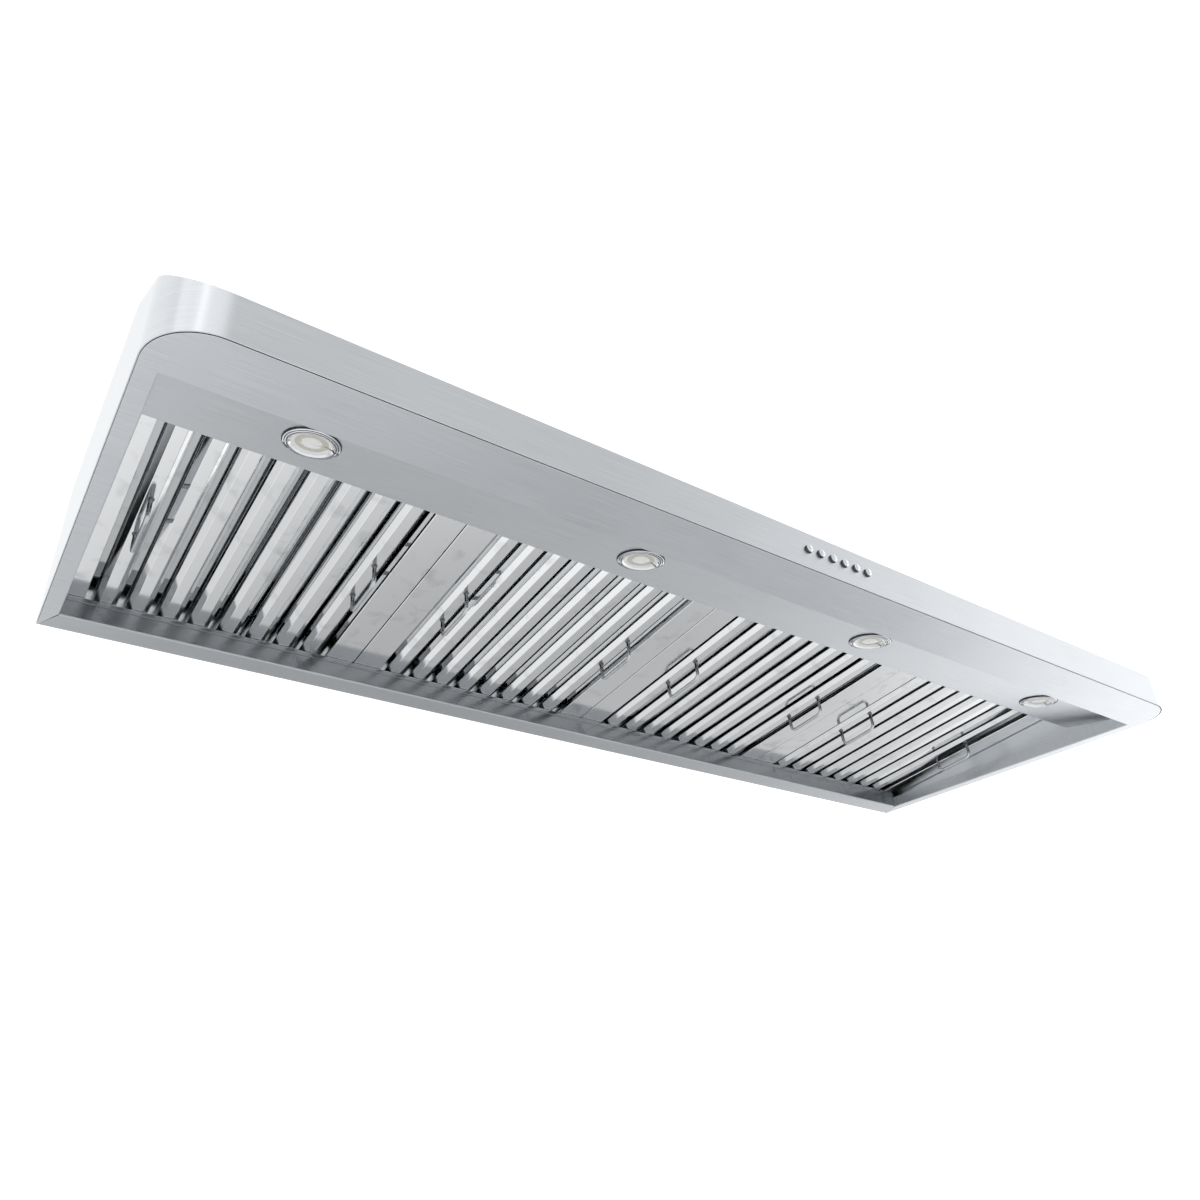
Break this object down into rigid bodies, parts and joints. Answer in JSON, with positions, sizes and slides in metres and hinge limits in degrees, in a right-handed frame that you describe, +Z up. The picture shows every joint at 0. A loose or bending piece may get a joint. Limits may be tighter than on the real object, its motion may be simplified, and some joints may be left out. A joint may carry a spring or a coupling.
{
  "type": "under cabinet range hood",
  "caption": "Wide stainless under-cabinet range hood with baffle filters, puck lights, push buttons, centrifugal blowers and rectangular duct collars.",
  "frame": {"origin": "middle of the flat top face that is screwed to the cabinet", "axes": "+X along the front towards the right end as seen by the cook, +Y towards the wall, +Z up"},
  "size_m": [1.524, 0.5852, 0.229],
  "materials": {
    "brushed_stainless": "brushed along the length, satin",
    "polished_stainless": "bright polished",
    "baffle_stainless": "bright annealed, near mirror",
    "galvanised_steel": "galvanised, dull",
    "lens_glass": "lightly frosted",
    "lamp_body": "satin reflector",
    "motor_casing": "cast, dull",
    "black_nylon": "moulded, matt",
    "circuit_board": "solder mask"
  },
  "bodies": {
    "canopy": {"canopy_skin": "brushed_stainless", "top_cover": "brushed_stainless", "back_panel": "galvanised_steel", "underside_frame": "brushed_stainless", "grease_trough": "brushed_stainless", "light_panel": "brushed_stainless", "light_trim_1": "polished_stainless", "light_lens_1": "lens_glass", "lamp_module_1": "lamp_body", "light_trim_2": "polished_stainless", "light_lens_2": "lens_glass", "lamp_module_2": "lamp_body", "light_trim_3": "polished_stainless", "light_lens_3": "lens_glass", "lamp_module_3": "lamp_body", "light_trim_4": "polished_stainless", "light_lens_4": "lens_glass", "lamp_module_4": "lamp_body", "switch_block": "black_nylon", "control_board": "circuit_board", "volute_1a": "galvanised_steel", "volute_1b": "galvanised_steel", "motor_1": "motor_casing", "motor_strap_1": "galvanised_steel", "duct_collar_1": "galvanised_steel", "volute_2a": "galvanised_steel", "volute_2b": "galvanised_steel", "motor_2": "motor_casing", "motor_strap_2": "galvanised_steel", "duct_collar_2": "galvanised_steel", "wiring_box": "galvanised_steel", "wiring_lid": "galvanised_steel", "cable_bushing": "black_nylon"},
    "filter_1": {"filter_1": "baffle_stainless", "filter_handle_1a": "polished_stainless", "filter_handle_1b": "polished_stainless"},
    "filter_2": {"filter_2": "baffle_stainless", "filter_handle_2a": "polished_stainless", "filter_handle_2b": "polished_stainless"},
    "filter_3": {"filter_3": "baffle_stainless", "filter_handle_3a": "polished_stainless", "filter_handle_3b": "polished_stainless"},
    "filter_4": {"filter_4": "baffle_stainless", "filter_handle_4a": "polished_stainless", "filter_handle_4b": "polished_stainless"},
    "button_1": {"button_1": "polished_stainless"},
    "button_2": {"button_2": "polished_stainless"},
    "button_3": {"button_3": "polished_stainless"},
    "button_4": {"button_4": "polished_stainless"},
    "button_5": {"button_5": "polished_stainless"},
    "button_6": {"button_6": "polished_stainless"},
    "rotor_1": {"fan_shaft_1": "polished_stainless", "fan_wheel_1a": "galvanised_steel", "fan_wheel_1b": "galvanised_steel"},
    "damper_1": {"damper_flap_1": "galvanised_steel"},
    "rotor_2": {"fan_shaft_2": "polished_stainless", "fan_wheel_2a": "galvanised_steel", "fan_wheel_2b": "galvanised_steel"},
    "damper_2": {"damper_flap_2": "galvanised_steel"}
  },
  "joints": [
    {"name": "filter_slide_1", "type": "slide", "parent": "canopy", "child": "filter_1", "axis": [0, -0.9936, 0.1132], "range_m": [0, 0.02]},
    {"name": "filter_slide_2", "type": "slide", "parent": "canopy", "child": "filter_2", "axis": [0, -0.9936, 0.1132], "range_m": [0, 0.02]},
    {"name": "filter_slide_3", "type": "slide", "parent": "canopy", "child": "filter_3", "axis": [0, -0.9936, 0.1132], "range_m": [0, 0.02]},
    {"name": "filter_slide_4", "type": "slide", "parent": "canopy", "child": "filter_4", "axis": [0, -0.9936, 0.1132], "range_m": [0, 0.02]},
    {"name": "button_press_1", "type": "slide", "parent": "canopy", "child": "button_1", "axis": [0, 1, 0], "range_m": [0, 0.0025], "stiffness_N_per_m": 300, "springref_m": -0.002},
    {"name": "button_press_2", "type": "slide", "parent": "canopy", "child": "button_2", "axis": [0, 1, 0], "range_m": [0, 0.0025], "stiffness_N_per_m": 300, "springref_m": -0.002},
    {"name": "button_press_3", "type": "slide", "parent": "canopy", "child": "button_3", "axis": [0, 1, 0], "range_m": [0, 0.0025], "stiffness_N_per_m": 300, "springref_m": -0.002},
    {"name": "button_press_4", "type": "slide", "parent": "canopy", "child": "button_4", "axis": [0, 1, 0], "range_m": [0, 0.0025], "stiffness_N_per_m": 300, "springref_m": -0.002},
    {"name": "button_press_5", "type": "slide", "parent": "canopy", "child": "button_5", "axis": [0, 1, 0], "range_m": [0, 0.0025], "stiffness_N_per_m": 300, "springref_m": -0.002},
    {"name": "button_press_6", "type": "slide", "parent": "canopy", "child": "button_6", "axis": [0, 1, 0], "range_m": [0, 0.0025], "stiffness_N_per_m": 300, "springref_m": -0.002},
    {"name": "fan_spin_1", "type": "hinge", "parent": "canopy", "child": "rotor_1", "pos_m": [-0.381, 0.0395, -0.06801], "axis": [1, 0, 0], "continuous": true},
    {"name": "damper_hinge_1", "type": "hinge", "parent": "canopy", "child": "damper_1", "pos_m": [-0.381, 0.11471, 0.005], "axis": [-1, 0, 0], "range_deg": [0, 80]},
    {"name": "fan_spin_2", "type": "hinge", "parent": "canopy", "child": "rotor_2", "pos_m": [0.381, 0.0395, -0.06801], "axis": [1, 0, 0], "continuous": true},
    {"name": "damper_hinge_2", "type": "hinge", "parent": "canopy", "child": "damper_2", "pos_m": [0.381, 0.11471, 0.005], "axis": [-1, 0, 0], "range_deg": [0, 80]}
  ]
}
